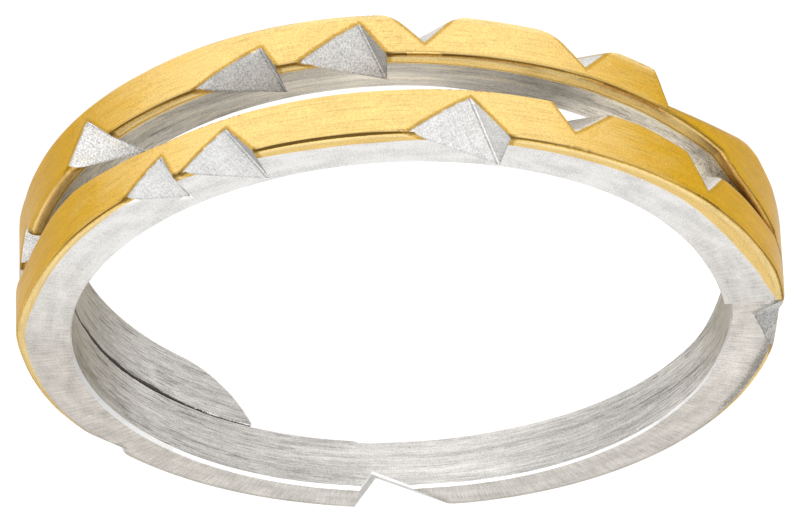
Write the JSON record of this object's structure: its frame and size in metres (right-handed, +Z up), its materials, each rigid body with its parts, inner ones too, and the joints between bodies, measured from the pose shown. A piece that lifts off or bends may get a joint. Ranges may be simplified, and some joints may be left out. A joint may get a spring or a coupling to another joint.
{
  "type": "silver wrap ring with gold-plated outside",
  "caption": "Finger ring made of one square-edged silver strip that laps itself, with V notches cut in its edges and a gold-plated outside.",
  "frame": {"origin": "axis of the finger hole, where it meets the plane that the ring rests on", "axes": "+Z up from the surface that the ring lies on, 2.9 degrees off the finger hole; -Y towards the middle of the decorated side"},
  "size_m": [0.0205, 0.0206, 0.0037],
  "materials": {
    "silver": "brushed sterling silver",
    "gilt": "satin-brushed gold plating"
  },
  "bodies": {
    "root": {"band": "silver"}
  },
  "joints": []
}
